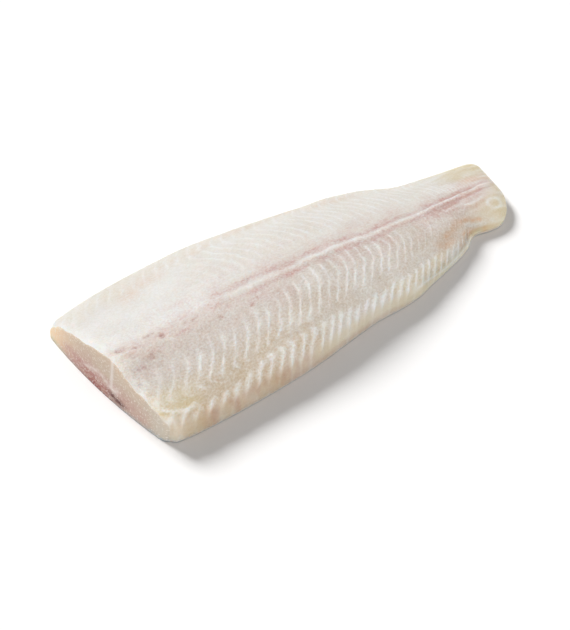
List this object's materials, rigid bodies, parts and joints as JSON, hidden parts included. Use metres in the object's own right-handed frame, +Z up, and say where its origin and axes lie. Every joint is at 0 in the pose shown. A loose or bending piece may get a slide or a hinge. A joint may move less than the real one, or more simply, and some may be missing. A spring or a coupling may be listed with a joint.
{
  "type": "raw pollock fillet",
  "caption": "Skinned raw white fish fillet, bone side up: thick knife-cut end, flaked flesh with a strand along the middle, thin squared tail.",
  "frame": {"origin": "on the surface it rests on, under the middle of its box", "axes": "+X along the fillet from the knife cut to the tail, +Y towards the belly edge, +Z up from the skinned underside to the bone side"},
  "size_m": [0.2786, 0.1166, 0.0302],
  "materials": {
    "raw_flesh": "raw white fish flesh: cream to pinkish white, slightly see-through at thin edges, damp satin sheen"
  },
  "bodies": {
    "root": {"fillet": "raw_flesh"}
  },
  "joints": []
}
